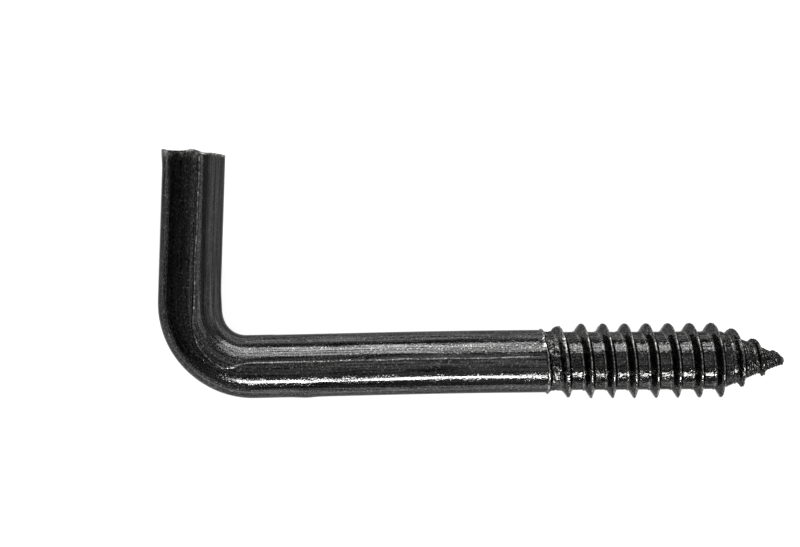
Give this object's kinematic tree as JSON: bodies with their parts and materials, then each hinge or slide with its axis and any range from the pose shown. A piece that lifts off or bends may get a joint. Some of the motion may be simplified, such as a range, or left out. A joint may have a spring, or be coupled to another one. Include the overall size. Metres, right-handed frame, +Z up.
{
  "type": "screw hook",
  "caption": "Square-bend screw hook: an L of round black-coated steel wire with a gimlet-pointed wood-screw thread.",
  "frame": {"origin": "on the shank's axis, where the plain shank ends and the thread begins", "axes": "+X along the shank to the point, +Y to the side that the arm is bent to, +Z up and square to the plane of the L: the hook lies on its side"},
  "size_m": [0.0609, 0.0244, 0.0072],
  "materials": {
    "black_steel": "semi-gloss black coating over drawn and rolled steel wire"
  },
  "bodies": {
    "root": {"screw_hook": "black_steel"}
  },
  "joints": []
}
